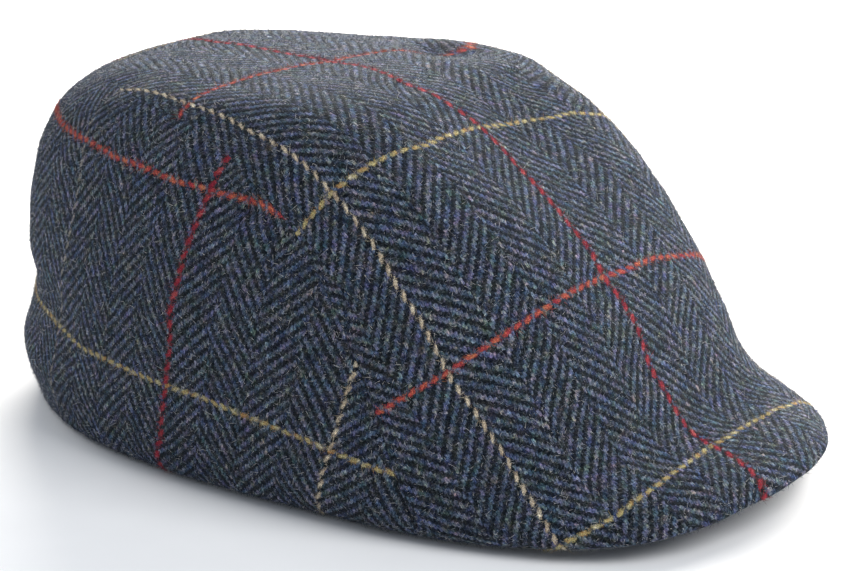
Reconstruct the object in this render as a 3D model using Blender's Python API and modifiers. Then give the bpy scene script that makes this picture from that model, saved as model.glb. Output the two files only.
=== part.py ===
# A herringbone wool flat cap of the duckbill kind: one top panel that runs on
# over a short stiff peak, and two side panels joined at the centre back.
# Metres, +Z up. The peak points to -Y and the wearer's right is -X.
# The cap rests on its rim, with the origin under the middle of its outline.
import math

import bmesh
import bpy
import numpy as np
from mathutils import Vector

# Outer form. The reaches are measured from the line where the head sits.
FRONT_REACH = 0.150      # forward to the tip of the peak
BACK_REACH = 0.135       # back to the fullest place of the back
HALF_WIDTH = 0.093       # out to the fullest place of each side
CROWN_HEIGHT = 0.121     # rim to the top of the crown
WIDEST_Y = -0.012        # where the rim is widest
APEX_Y = 0.013           # where the crown is highest

# Cloth and board
WALL = 0.0024            # face cloth and its backing together
SEAM_GAP = 0.0004        # between neighbouring panels
BOARD = 0.0020           # the covered board of the peak
BOARD_GAP = 0.0005       # from the board to the cloth round its edge
PEAK_DEPTH = 0.050       # tip of the peak back to the head opening
PEAK_LIFT = 0.0120       # rim of the peak above the table at its tip
PEAK_SLOPE = 0.08        # fall of the board towards the front
HORN_WIDTH = 0.006       # how wide the board still is at its two ends
HORN_TAPER = 0.003       # how much nearer the middle those ends are inside
ROUND_OPENING = 2.2      # corners of the head opening at the peak

# Corners of an outline: 2 is an ellipse, more is squarer
ROUND_FRONT = 2.5
ROUND_BACK = 2.45
# How suddenly the outline lifts towards the tip and the back
RISE_FRONT = 3.4
RISE_BACK = 2.2

# Rings round the form from the rim (0) to the top (1). Reaches and width are
# shares of the sizes above; heights are shares of the crown height, and the
# lift of the peak is added to the front ones.
#  place  front   back   side   z_front z_side z_back
RINGS = (
    (0.000, 0.970, 0.985, 0.915, 0.000, 0.000, 0.000),
    (0.035, 0.998, 0.988, 0.950, 0.012, 0.016, 0.030),
    (0.070, 0.994, 0.993, 0.972, 0.038, 0.037, 0.068),
    (0.120, 0.940, 1.000, 0.990, 0.078, 0.077, 0.138),
    (0.280, 0.790, 0.968, 0.998, 0.151, 0.220, 0.335),
    (0.460, 0.663, 0.958, 0.968, 0.415, 0.490, 0.580),
    (0.640, 0.483, 0.895, 0.875, 0.692, 0.780, 0.853),
    (0.800, 0.276, 0.588, 0.683, 0.881, 0.966, 1.000),
    (0.920, 0.113, 0.253, 0.311, 0.981, 0.998, 1.000),
)

# The seam between top and sides, on the wearer's right, from the foot of the
# peak up the side and round to the centre back: angle from the front, ring.
SEAM = (
    (68.0, 0.000),
    (65.5, 0.150),
    (64.0, 0.290),
    (65.5, 0.420),
    (69.5, 0.530),
    (76.5, 0.620),
    (88.0, 0.685),
    (104.0, 0.745),
    (122.0, 0.758),
    (150.0, 0.745),
    (180.0, 0.725),
)
SEAM_STEPS = 54          # stations along one seam
CORNER_STEP = 14         # station where the seam turns from the front to the side
BACK_STEP = 36           # station where the top panel's back edge begins

# Soft dents and swells of the worn shape: angle from the front (to the
# wearer's right is negative), ring, spread in degrees, spread in rings, and
# how far out as a share of the crown height (in is negative).
DENTS = (
    # the crease low on the back and the roll under it
    (-143.0, 0.36, 18.0, 0.050, -0.016),
    (-143.0, 0.19, 24.0, 0.060, 0.014),
    (-145.0, 0.46, 18.0, 0.060, 0.007),
    (-139.0, 0.08, 8.0, 0.050, -0.008),
    (140.0, 0.34, 24.0, 0.070, -0.008),
    # the rim is pinched at the temples and full at the ends of the peak
    (-80.0, 0.01, 13.0, 0.100, -0.012),
    (80.0, 0.01, 13.0, 0.100, -0.012),
    (-122.0, 0.02, 12.0, 0.100, 0.009),
    (122.0, 0.02, 12.0, 0.100, 0.009),
    (-44.0, 0.03, 12.0, 0.080, 0.010),
    (44.0, 0.03, 12.0, 0.080, 0.010),
    # the tip of the peak is a little pointed
    (-21.0, 0.05, 9.0, 0.070, -0.012),
    (22.0, 0.05, 9.0, 0.070, -0.012),
    (0.0, 0.05, 8.0, 0.070, 0.009),
    # slack places on the crown's far side, and its corner at the back
    (162.0, 0.79, 14.0, 0.060, 0.014),
    (126.0, 0.82, 15.0, 0.060, -0.012),
    (98.0, 0.80, 10.0, 0.050, 0.006),
    (78.0, 0.90, 30.0, 0.040, -0.014),
    (55.0, 0.76, 14.0, 0.060, -0.009),
    (35.0, 0.38, 14.0, 0.100, 0.009),
)


def spline(places, rows):
    """A smooth curve through the rows of a table."""
    places = np.asarray(places, float)
    rows = np.asarray(rows, float)
    n = len(places)
    h = np.diff(places)
    left = np.eye(n)
    right = np.zeros_like(rows)
    for i in range(1, n - 1):
        left[i, i - 1:i + 2] = h[i - 1], 2 * (h[i - 1] + h[i]), h[i]
        right[i] = 6 * ((rows[i + 1] - rows[i]) / h[i] - (rows[i] - rows[i - 1]) / h[i - 1])
    bend = np.linalg.solve(left, right)

    def at(t):
        t = np.asarray(t, float)
        i = np.clip(np.searchsorted(places, t, "right") - 1, 0, n - 2)
        a = ((places[i + 1] - t) / h[i])[..., None]
        b = 1 - a
        curve = ((a ** 3 - a) * bend[i] + (b ** 3 - b) * bend[i + 1]) * (h[i] ** 2)[..., None] / 6
        return a * rows[i] + b * rows[i + 1] + curve

    return at


def ring_profile():
    """The rings in metres, carried on past the top so that the crown is smooth."""
    rows = []
    for t, front, back, side, z_front, z_side, z_back in RINGS:
        lift = PEAK_LIFT * (1 - t) ** 2
        rows.append((t, front * FRONT_REACH, back * BACK_REACH, side * HALF_WIDTH,
                     z_front * CROWN_HEIGHT + lift, z_side * CROWN_HEIGHT,
                     z_back * CROWN_HEIGHT, WIDEST_Y + (APEX_Y - WIDEST_Y) * t))
    top = (1.0, -APEX_Y, APEX_Y, 0, CROWN_HEIGHT, CROWN_HEIGHT, CROWN_HEIGHT, APEX_Y)
    beyond = [(2 - r[0], -2 * APEX_Y - r[1], 2 * APEX_Y - r[2], -r[3]) + r[4:] for r in reversed(rows)]
    table = np.array(rows + [top] + beyond)
    return spline(table[:, 0], table[:, 1:])


PROFILE = ring_profile()
MIRROR = np.array([-1, 1])


def smooth_form(angle, t):
    """A point of the outer form, before its dents. Angles in radians."""
    front, back, side, z_front, z_side, z_back, middle = np.moveaxis(PROFILE(t), -1, 0)
    c, s = np.cos(angle), np.sin(angle)
    power = np.where(c > 0, ROUND_FRONT, ROUND_BACK)
    k = (abs(c) ** power + abs(s) ** power) ** (-1 / power)
    x = side * s * k
    y = middle - np.where(c > 0, front + middle, back - middle) * c * k
    z = (z_side + (z_front - z_side) * np.clip(c, 0, 1) ** RISE_FRONT
         + (z_back - z_side) * np.clip(-c, 0, 1) ** RISE_BACK)
    return np.stack([x, y, z], -1)


def form(angle, t):
    """A point of the outer form. It is pushed in or out where it is dented."""
    angle = np.asarray(angle, float)
    t = np.asarray(t, float)
    point = smooth_form(angle, t)
    push = np.zeros_like(t)
    for at, ring, wide, tall, depth in DENTS:
        off = (np.degrees(angle) - at + 180) % 360 - 180
        push = push + depth * np.exp(-(off / wide) ** 2 - ((t - ring) / tall) ** 2)
    out = point - np.array([0, WIDEST_Y, 0.45 * CROWN_HEIGHT])
    out[..., 2] = np.maximum(out[..., 2], 0)
    out = out / np.linalg.norm(out, axis=-1, keepdims=True)
    return point + out * (push * CROWN_HEIGHT)[..., None]


def to_disc(angle, t):
    """The form laid out as a disc: the rim is the circle and the top its middle."""
    return np.stack([(1 - t) * np.sin(angle), -(1 - t) * np.cos(angle)], -1)


def from_disc(p):
    r = np.hypot(p[..., 0], p[..., 1])
    return form(np.arctan2(p[..., 0], -p[..., 1]), 1 - r)


def seam_stations():
    """Even stations along the seam as disc points, for positive angles."""
    table = np.array(SEAM)
    path = to_disc(np.radians(table[:, 0]), table[:, 1])
    path = np.r_[path, path[-2::-1] * MIRROR]
    places = np.r_[0, np.cumsum(np.linalg.norm(np.diff(path, axis=0), axis=1))]
    curve = spline(places, path)
    fine = np.linspace(0, places[-1] / 2, 2000)
    at = from_disc(curve(fine))
    length = np.r_[0, np.cumsum(np.linalg.norm(np.diff(at, axis=0), axis=1))]
    even = np.interp(np.linspace(0, length[-1], SEAM_STEPS + 1), length, fine)
    return curve(even)


def moved_in(path, side):
    """The path moved sideways on the form by half a seam gap, as disc points."""
    along = np.gradient(path, axis=0)
    along /= np.linalg.norm(along, axis=1)[:, None]
    across = np.c_[-along[:, 1], along[:, 0]] * side
    step = 1e-4
    here, there = from_disc(path), from_disc(path + across * step)
    size = np.linalg.norm(there - here, axis=1)[:, None] / step
    return path + across * (SEAM_GAP / 2) / size


def patch(bottom, top, left, right):
    """Points inside four edges, blended from them. The edges run left to right
    and bottom to top, and share their corners."""
    u = np.linspace(0, 1, len(bottom))[None, :, None]
    v = np.linspace(0, 1, len(left))[:, None, None]
    corners = ((1 - u) * (1 - v) * bottom[0] + u * (1 - v) * bottom[-1]
               + (1 - u) * v * top[0] + u * v * top[-1])
    return ((1 - v) * bottom[None] + v * top[None]
            + (1 - u) * left[:, None] + u * right[:, None] - corners)


def out_of_form(p):
    """The outward normal of the form at disc points."""
    step = 1e-4
    x_step, y_step = np.array([step, 0]), np.array([0, step])
    normal = np.cross(from_disc(p + x_step) - from_disc(p - x_step),
                      from_disc(p + y_step) - from_disc(p - y_step))
    return normal / np.linalg.norm(normal, axis=-1, keepdims=True)


def sheet(name, points, outward):
    """An open surface, a grid whose vertices are put at the points, and the
    indices of those vertices."""
    rows, columns = points.shape[:2]
    mesh = bpy.data.meshes.new(name)
    bm = bmesh.new()
    bmesh.ops.create_grid(bm, x_segments=columns - 1, y_segments=rows - 1, size=1)
    order = sorted(bm.verts, key=lambda v: (round(v.co.y, 5), round(v.co.x, 5)))
    for vertex, co in zip(order, points.reshape(-1, 3)):
        vertex.co = co
    bm.normal_update()
    bm.verts.index_update()
    index = np.array([vertex.index for vertex in order]).reshape(rows, columns)
    facing = sum(face.normal.dot(outward(face.calc_center_median())) for face in bm.faces)
    if facing < 0:
        bmesh.ops.reverse_faces(bm, faces=bm.faces)
    bm.to_mesh(mesh)
    bm.free()
    mesh.shade_smooth()
    thing = bpy.data.objects.new(name, mesh)
    parts.objects.link(thing)
    return thing, index


def thicken(thing, thickness):
    """Solidify inwards, so that the sheet stays the outer face."""
    solid = thing.modifiers.new("Cloth", "SOLIDIFY")
    solid.thickness = thickness
    solid.offset = -1
    solid.use_even_offset = True
    solid.use_rim = True


def square_edges(thing, index, normals):
    """Applies Solidify, and turns the cut edges square to the form itself, so
    that panels that meet at a seam keep their gap all the way through."""
    depsgraph = bpy.context.evaluated_depsgraph_get()
    mesh = bpy.data.meshes.new_from_object(thing.evaluated_get(depsgraph))
    thing.modifiers.clear()
    thing.data = mesh
    border = np.ones(index.shape, bool)
    border[1:-1, 1:-1] = False
    for i, normal in zip(index[border], normals[border]):
        outer, inner = mesh.vertices[int(i)], mesh.vertices[int(i) + index.size]
        inner.co = outer.co - Vector(normal) * WALL


def flatten_rim(thing, outer, count):
    """Lays those vertices of the rim's outer and inner edge flat on the table."""
    for i in outer:
        thing.data.vertices[int(i)].co.z = 0
        thing.data.vertices[int(i) + count].co.z = 0


def cloth(name, colour):
    material = bpy.data.materials.new(name)
    material.use_nodes = True
    shader = material.node_tree.nodes["Principled BSDF"]
    shader.inputs["Base Color"].default_value = (*colour, 1)
    shader.inputs["Roughness"].default_value = 0.95
    shader.inputs["Metallic"].default_value = 0
    return material


def from_head(p):
    """The way out of the head hollow at p."""
    return Vector((p.x, p.y - WIDEST_Y, p.z - 0.3 * CROWN_HEIGHT))


def down(p):
    return Vector((0, 0, -1))


for thing in list(bpy.data.objects):
    bpy.data.objects.remove(thing)
parts = bpy.data.collections.new("flat_cap")
bpy.context.scene.collection.children.link(parts)

seam = seam_stations()

# Top panel: its edges are the rim of the peak, both seams and the back.
edge = moved_in(seam, 1)
half = SEAM_STEPS - BACK_STEP
corner = math.atan2(edge[0, 0], -edge[0, 1])
rim_angle = np.linspace(-corner, corner, 2 * half + 1)
rim = to_disc(rim_angle, np.zeros_like(rim_angle))
edge[0] = rim[-1]
edge[-1, 0] = 0
back = np.r_[edge[BACK_STEP:] * MIRROR, edge[BACK_STEP:-1][::-1]]
right_side = edge[:BACK_STEP + 1]
top_disc = patch(rim, back, right_side * MIRROR, right_side)
top_points = from_disc(top_disc)
top_panel, index = sheet("top_panel", top_points, from_head)
thicken(top_panel, WALL)
square_edges(top_panel, index, out_of_form(top_disc))
flatten_rim(top_panel, index[0, [0, -1]], index.size)

# Side panels: the rim below, the seam in front and above, and the centre back.
edge = moved_in(seam, -1)
start = math.atan2(edge[0, 0], -edge[0, 1])
count = SEAM_STEPS - CORNER_STEP
rim_angle = np.linspace(start, math.pi, count + 1)
foot = to_disc(rim_angle, np.zeros_like(rim_angle))
edge[0] = foot[0]
edge[-1, 0] = 0
rise = np.linspace(0, 1, CORNER_STEP + 1)[:, None]
back_edge = foot[-1] * (1 - rise) + edge[-1] * rise
side_disc = patch(foot, edge[CORNER_STEP:], edge[:CORNER_STEP + 1], back_edge)
side_panels = []
for name, hand in (("side_panel_left", 1), ("side_panel_right", -1)):
    lay = side_disc * np.array([hand, 1])
    side_points = from_disc(lay)
    side_points[:, -1, 0] = hand * SEAM_GAP / 2
    side_normals = out_of_form(lay)
    side_normals[:, -1, 0] = 0
    panel, index = sheet(name, side_points, from_head)
    thicken(panel, WALL)
    square_edges(panel, index, side_normals)
    flatten_rim(panel, index[0], index.size)
    side_panels.append(panel)

# Peak: a thin covered board under the front of the top panel. Its outer edge
# meets the turned edge of the cloth, and its inner edge is the front of the
# head opening. It is arched from side to side and slopes down to the front.
outer_disc = rim[1:-1]
outer = from_disc(outer_disc)
share = np.linspace(-1, 1, len(outer))
along = np.gradient(outer[:, :2], axis=0)
along /= np.linalg.norm(along, axis=1)[:, None]
inwards = np.c_[-along[:, 1], along[:, 0]]
leans = np.sum(-out_of_form(outer_disc)[:, :2] * inwards, axis=1) * WALL
outer[:, :2] += inwards * (np.maximum(leans, 0) + BOARD_GAP)[:, None]
horn = outer[-1]
inner = outer.copy()
inner[:, 0] = share * (horn[0] - HORN_TAPER)
bow = (1 - abs(share) ** ROUND_OPENING) ** (1 / ROUND_OPENING)
horn_y = horn[1] + HORN_WIDTH
inner[:, 1] = horn_y + (PEAK_DEPTH - FRONT_REACH - horn_y) * bow
depth = np.linalg.norm(inner[:, :2] - outer[:, :2], axis=1)
inner[:, 2] += PEAK_SLOPE * depth
v = np.linspace(0, 1, 8)[:, None, None]
peak_points = outer[None] * (1 - v) + inner[None] * v
peak, index = sheet("peak", peak_points, down)
thicken(peak, BOARD)

for thing, colour in ((top_panel, (0.030, 0.042, 0.066)), (side_panels[0], (0.026, 0.037, 0.060)),
                      (side_panels[1], (0.026, 0.037, 0.060)), (peak, (0.020, 0.028, 0.044))):
    thing.data.materials.clear()
    thing.data.materials.append(cloth(thing.name + "_wool", colour))

# The middle of the outline comes over the origin.
reach = np.concatenate([top_points.reshape(-1, 3), side_points.reshape(-1, 3)])[:, 1]
for thing in parts.objects:
    thing.location.y = -(reach.min() + reach.max()) / 2
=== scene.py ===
import math

import bpy
import numpy as np
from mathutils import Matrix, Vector


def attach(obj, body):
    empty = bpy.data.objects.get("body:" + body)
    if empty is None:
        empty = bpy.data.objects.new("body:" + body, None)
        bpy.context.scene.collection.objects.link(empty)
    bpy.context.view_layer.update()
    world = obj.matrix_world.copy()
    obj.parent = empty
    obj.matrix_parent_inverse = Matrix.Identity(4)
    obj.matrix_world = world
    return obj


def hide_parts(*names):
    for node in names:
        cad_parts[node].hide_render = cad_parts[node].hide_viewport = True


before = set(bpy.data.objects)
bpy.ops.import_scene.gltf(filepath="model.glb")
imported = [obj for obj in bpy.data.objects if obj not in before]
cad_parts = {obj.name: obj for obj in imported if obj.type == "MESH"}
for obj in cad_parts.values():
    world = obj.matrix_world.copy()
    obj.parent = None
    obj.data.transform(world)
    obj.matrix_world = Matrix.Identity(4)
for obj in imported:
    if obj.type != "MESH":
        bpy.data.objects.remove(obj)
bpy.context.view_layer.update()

MM = 1000                # millimetres in a metre

# Outer form, as in the part's source
FRONT_REACH = 0.150      # forward to the tip of the peak
BACK_REACH = 0.135       # back to the fullest place of the back
HALF_WIDTH = 0.093       # out to the fullest place of each side
CROWN_HEIGHT = 0.121     # rim to the top of the crown
WIDEST_Y = -0.012        # where the rim is widest
APEX_Y = 0.013           # where the crown is highest

# Cloth and its seams
WALL = 0.0024            # face cloth and its backing together
SEAM_GAP = 0.00001       # between panels, which are pressed together
SEAM_ROLL = 0.0006       # how the cloth rounds into a seam
SEAM_DROP = (0.85, 0.30) # share of that rounding left after pressing: low down, high up
SEAM_DROP_HEIGHT = (0.060, 0.090)  # where low down ends and high up starts
RIM_ROLL = 0.0009        # how it rounds at the rim
SLACK = 0.00022          # how far the soft cloth wanders from its form
SLACK_WAVES = (0.041, 0.035, 0.030, 0.026, 0.023, 0.020, 0.018, 0.016, 0.014, 0.0125)
SLACK_SEED = 7
SLACK_FADE = 0.006       # it wanders less this near the rim

# Covered board of the peak
BOARD = 0.0020           # its thickness
BOARD_ROUND = 0.9        # how round its edges are, as a share of half that
BOARD_GAP = 0.0005       # from the board to the cloth round its edge
PEAK_DEPTH = 0.050       # tip of the peak back to the head opening
PEAK_LIFT = 0.0120       # rim of the peak above the table at its tip
PEAK_SLOPE = 0.08        # fall of the board towards the front
HORN_WIDTH = 0.006       # width of the board at its two ends
HORN_TAPER = 0.003       # how much nearer the middle they are inside
ROUND_OPENING = 2.2      # corners of the head opening at the peak

# Loose fibres on the cloth
FIBRE_LENGTH = 0.0014    # the usual one
FIBRE_SPREAD = 0.35      # how unlike their lengths are
FIBRE_WIDTH = 0.00014    # at the root
FIBRE_ROOT = 0.00015     # how deep one starts in the cloth
FIBRE_RISE = (0.15, 0.9) # least and most rise for each step along the cloth
FIBRE_CLEAR = 0.0001     # least height of a tip above the table
TOP_FIBRES = 43000
SIDE_FIBRES = 27000
LINE_TRIES = 1.6         # how many more are tried on check lines, as a share of the rest
# Fibres this many yarns from the middle of a check line have its colour: cream,
# red warp, mustard, red weft
LINE_REACH = (0.50, 1.30, 0.75, 1.20)

# At the back the cream lines of the sides are worn down
WORN = 0.65              # share of them that is gone
WORN_FROM = 0.055
WORN_FADE = 0.020

# Corners of an outline: 2 is an ellipse, more is squarer
ROUND_FRONT = 2.5
ROUND_BACK = 2.45
# How suddenly the outline lifts towards the tip and the back
RISE_FRONT = 3.4
RISE_BACK = 2.2

# Rings round the form from the rim (0) to the top (1). Reaches and width are
# shares of the sizes above; heights are shares of the crown height, and the
# lift of the peak is added to the front ones.
#  place  front   back   side   z_front z_side z_back
RINGS = (
    (0.000, 0.970, 0.985, 0.915, 0.000, 0.000, 0.000),
    (0.035, 0.998, 0.988, 0.950, 0.012, 0.016, 0.030),
    (0.070, 0.994, 0.993, 0.972, 0.038, 0.037, 0.068),
    (0.120, 0.940, 1.000, 0.990, 0.078, 0.077, 0.138),
    (0.280, 0.790, 0.968, 0.998, 0.151, 0.220, 0.335),
    (0.460, 0.663, 0.958, 0.968, 0.415, 0.490, 0.580),
    (0.640, 0.483, 0.895, 0.875, 0.692, 0.780, 0.853),
    (0.800, 0.276, 0.588, 0.683, 0.881, 0.966, 1.000),
    (0.920, 0.113, 0.253, 0.311, 0.981, 0.998, 1.000),
)

# The seam between top and sides, for positive angles: angle from the front, ring
SEAM = (
    (68, 0),
    (65.5, 0.15),
    (64, 0.29),
    (65.5, 0.42),
    (69.5, 0.53),
    (76.5, 0.62),
    (88, 0.685),
    (104, 0.745),
    (122, 0.758),
    (150, 0.745),
    (180, 0.725),
)
SEAM_STEPS = 54          # stations along one seam
CORNER_STEP = 14         # station where the seam turns from the front to the side
BACK_STEP = 36           # station where the top panel's back edge begins

# Soft dents and swells of the worn shape: angle from the front (to the
# wearer's right is negative), ring, spread in degrees, spread in rings, and
# how far out as a share of the crown height (in is negative).
DENTS = (
    # the crease low on the back and the roll under it
    (-143, 0.36, 18, 0.05, -0.016),
    (-143, 0.19, 24, 0.06, 0.014),
    (-145, 0.46, 18, 0.06, 0.007),
    (-139, 0.08, 8, 0.05, -0.008),
    (140, 0.34, 24, 0.07, -0.008),
    # the rim is pinched at the temples and full at the ends of the peak
    (-80, 0.01, 13, 0.1, -0.012),
    (80, 0.01, 13, 0.1, -0.012),
    (-122, 0.02, 12, 0.1, 0.009),
    (122, 0.02, 12, 0.1, 0.009),
    (-44, 0.03, 12, 0.08, 0.01),
    (44, 0.03, 12, 0.08, 0.01),
    # the tip of the peak is a little pointed
    (-21, 0.05, 9, 0.07, -0.012),
    (22, 0.05, 9, 0.07, -0.012),
    (0, 0.05, 8, 0.07, 0.009),
    # slack places on the crown's far side, and its corner at the back
    (162, 0.79, 14, 0.06, 0.014),
    (126, 0.82, 15, 0.06, -0.012),
    (98, 0.8, 10, 0.05, 0.006),
    (78, 0.9, 30, 0.04, -0.014),
    (55, 0.76, 14, 0.06, -0.009),
    (35, 0.38, 14, 0.1, 0.009),
)

# Smaller folds and creases of the cloth, which the source leaves out
FOLDS = (
    (86, 0.885, 17, 0.025, -0.034),
    (57, 0.8, 7, 0.03, 0.009),
    (52, 0.75, 6, 0.022, -0.006),
    (40, 0.64, 18, 0.12, 0.006),
    (28, 0.4, 14, 0.1, 0.004),
    (-139, 0.4, 10, 0.035, 0.008),
    # the seam pulls the cloth in where the check's red line ends
    (-85, 0.622, 3.5, 0.014, -0.018),
    (-76, 0.58, 4, 0.03, -0.005),
    (-97, 0.73, 4, 0.02, -0.006),
)
DENT_CENTRE = 0.45       # dents are pushed from this share of the crown height

# The windowpane check. Lines are numbered: even warp lines are cream and odd
# ones red, even weft lines are mustard and odd ones red.
PANE = 62.0              # millimetres from line to line, both ways
ENDS = 64                # warp yarns in a pane
PICKS = 56               # weft yarns in a pane
COLUMN = 16              # warp yarns in one column of the herringbone
TWILL = 4.0              # yarns in one run of the weave: over two and under two
COLUMN_EDGE = 0.5        # a column's edge from the middle of a warp line, in yarns
PICK_EDGE = 0.5          # a pick's edge from the middle of a weft line, in yarns
WARP, WEFT = 0, 1

# Where the lines lie on the cap, read off the photo: which yarn, line
# number, places as (angle from the front, ring). The numbers just short of a
# line keep the far side's cream one and the back's mustard one out of sight.
TOP_LINES = (
    (WARP, 0, ((-131.5, .758), (-121, .779), (-106, .778), (-95, .77), (-87.5, .75), (-79, .736),
               (-72.5, .718), (-67.5, .694), (-63.8, .662), (-56, .54), (-51.5, .42), (-46.5, .285),
               (-50, .062))),
    (WARP, 1, ((-179, .79), (-173.5, .835), (-173.5, .885), (-33, .904), (-10.5, .797), (-11.5, .713),
               (-12, .633), (-12.5, .537), (-11.5, .395), (-9.5, .275), (-10, .208), (-16.5, .06))),
    (WARP, 1.8, ((30.5, .83), (31.5, .75), (37.5, .613), (31.5, .495), (26.5, .413), (28, .315), (30, .152))),
    (WARP, 1.87, ((43, .755), (50, .806), (64, .838), (81, .849), (97, .847), (110, .832))),
    (WEFT, 0, ((-49, .072), (-39.5, .12), (-30.5, .163), (-21, .193), (-10, .21), (2, .20),
               (15.5, .177), (28, .133))),
    (WEFT, 1, ((-63.5, .357), (-51.5, .42), (-37, .487), (-23, .525), (-12.5, .537), (7, .53), (28, .48))),
    (WEFT, 2, ((-72.5, .60), (-63.8, .662), (-36, .758), (-25, .782), (-11.5, .80), (11, .782),
               (29, .743), (39, .703))),
    (WEFT, 3, ((-106, .75), (-108, .797), (-115, .888), (-139.5, .963), (66, .848))),
    (WEFT, 3.8, ((-150.5, .76), (-165, .787), (171, .808), (158, .812), (148, .802))),
)
SIDE_LINES = (
    (WEFT, 1, ((-141, .655), (-126, .66), (-114.5, .65), (-100.5, .64), (-87.5, .638), (-82, .636),
               (-76, .627))),
    (WEFT, 0, ((-129.5, .33), (-119, .315), (-107, .318), (-94.5, .315), (-85.5, .30), (-76, .278),
               (-64, .24))),
    (WARP, 0, ((-129, .743), (-126.5, .69), (-123.5, .647), (-121, .608), (-120.5, .57),
               (-120.5, .532), (-121.5, .485), (-124.5, .383))),
    (WARP, 1, ((-91, .688), (-95.5, .60), (-98, .52), (-100, .455), (-101.5, .32), (-103, .177),
               (-105.5, .10))),
    (WARP, 2, ((-65.5, .42), (-68.5, .37), (-71.5, .31), (-76, .20), (-79.5, .113))),
)

# How the cloth is laid flat
PIN_STRENGTH = 8.0       # how hard the lines pull against the cloth's own shape
HOLD = 1e-9              # how weakly each point keeps its last place
LAY_ROUNDS = 60
TOP_TURN = 4.8           # degrees by which the top starts turned
# Millimetres of cloth at the origin, where the laying of the top and the side
# starts, and for the board, whose cloth stays as seen from below
TOP_START = (74.6, 101.0)
SIDE_START = (72.0, -33.0)
PEAK_START = (31.0, 20.0)

# How finely the surfaces are made
SMALL = 1e-4             # a small step on the disc, to feel the form's slope
SEAM_SAMPLES = 2000
PIN_SAMPLES = 401        # lines of the grid on which pins are placed
TOP_MESH = (0.24, 0.22)  # mesh rows and columns, in steps of the layout grid
SIDE_MESH = (0.22, 0.24)
PEAK_MESH = (0.2, 0.3)
PEAK_ROWS = 12
# Mesh lines by a rolled edge, and where even ones go on, in the same steps
EDGE_LINES = (0, .025, .055, .09, .13, .18, .25, .34, .46, .62, .80)
EVEN_FROM = 0.95
# Parts of the baked picture for the outer and the inner face: size, corner
BAKE_OUTER = ((0.98, 0.78), (0.01, 0.21))
BAKE_INNER = ((0.98, 0.18), (0.01, 0.01))

# Camera: round from the front (to the wearer's right is negative), up, and
# how far from the middle of the cap
CAMERA_TURN = -56.26
CAMERA_RISE = 16.61
CAMERA_DISTANCE = 0.6391
CAMERA_TARGET = (0.0, 0.0, 0.055)
PIXELS_PER_MM = 2.969    # at the target
TARGET_PIXEL = (392.17, 257.06)
FRAME_PIXELS = (850, 571)
SENSOR_MM = 36.0

# Softboxes: turn from the camera's direction, rise, watts, colour
SOFTBOXES = {
    "softbox_back": (180, 17, 72.0, (1.0, 0.96, 0.90)),
    "softbox_far_front": (140, 28, 43.0, (1.0, 0.95, 0.88)),
    "softbox_key": (60, 45, 17.0, (1.0, 1.0, 1.0)),
    "softbox_far_back": (-120, 30, 8.0, (1.0, 1.0, 1.0)),
}
SOFTBOX_AIM = (0.0, 0.0, 0.05)
SOFTBOX_DISTANCE = 1.6
SOFTBOX_WIDTH = 1.0
ROOM_COLOUR = (0.88, 0.955, 1.07, 1.0)
ROOM_STRENGTH = 0.45
FLOOR_REACH = 12.0       # from its middle to each side

# Wool colours, from darker to lighter fibres: ramp place, colour
WARP_WOOL = (
    (0.35, (0.0045, 0.007, 0.015)), (0.43, (0.015, 0.0225, 0.043)), (0.47, (0.033, 0.05, 0.09)),
    (0.5, (0.051, 0.084, 0.115)), (0.53, (0.099, 0.1, 0.143)), (0.57, (0.127, 0.157, 0.225)),
    (0.61, (0.217, 0.228, 0.253)), (0.68, (0.44, 0.45, 0.47)))
WEFT_WOOL = (
    (0.34, (0.001, 0.0022, 0.0045)), (0.44, (0.003, 0.0054, 0.0098)), (0.5, (0.0088, 0.0124, 0.018)),
    (0.55, (0.0196, 0.0214, 0.0248)), (0.6, (0.036, 0.047, 0.058)), (0.67, (0.127, 0.13, 0.138)))
CREAM = ((0.4, (0.3, 0.22, 0.15)), (0.5, (0.47, 0.39, 0.28)), (0.58, (0.62, 0.56, 0.42)))
MUSTARD = ((0.4, (0.36, 0.17, 0.06)), (0.46, (0.38, 0.28, 0.115)), (0.53, (0.36, 0.33, 0.15)),
           (0.6, (0.48, 0.44, 0.33)))
SCARLET = ((0.38, (0.22, 0.018, 0.04)), (0.46, (0.34, 0.042, 0.046)), (0.54, (0.44, 0.1, 0.06)),
           (0.62, (0.5, 0.21, 0.1)))
CRIMSON = ((0.4, (0.16, 0.01, 0.026)), (0.5, (0.27, 0.018, 0.03)), (0.6, (0.38, 0.07, 0.07)))
FIBRE_WOOL = ((0, (0.01, 0.015, 0.03)), (0.45, (0.045, 0.06, 0.1)), (0.62, (0.12, 0.14, 0.19)),
              (0.8, (0.34, 0.36, 0.4)), (0.98, (0.64, 0.62, 0.59)))
FIBRE_SHADES = (0.30, 0.35)  # a line's fibres take this much of its ramp, from this place
STRAY_WOOL = (0.120, 0.130, 0.150, 1)
LINING_TWILL = ((0.3, (0.014, 0.017, 0.028)), (0.7, (0.042, 0.048, 0.070)))
FLOOR_PAPER = ((0.3, (0.88, 0.88, 0.88)), (0.7, (0.90, 0.90, 0.90)))

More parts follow.
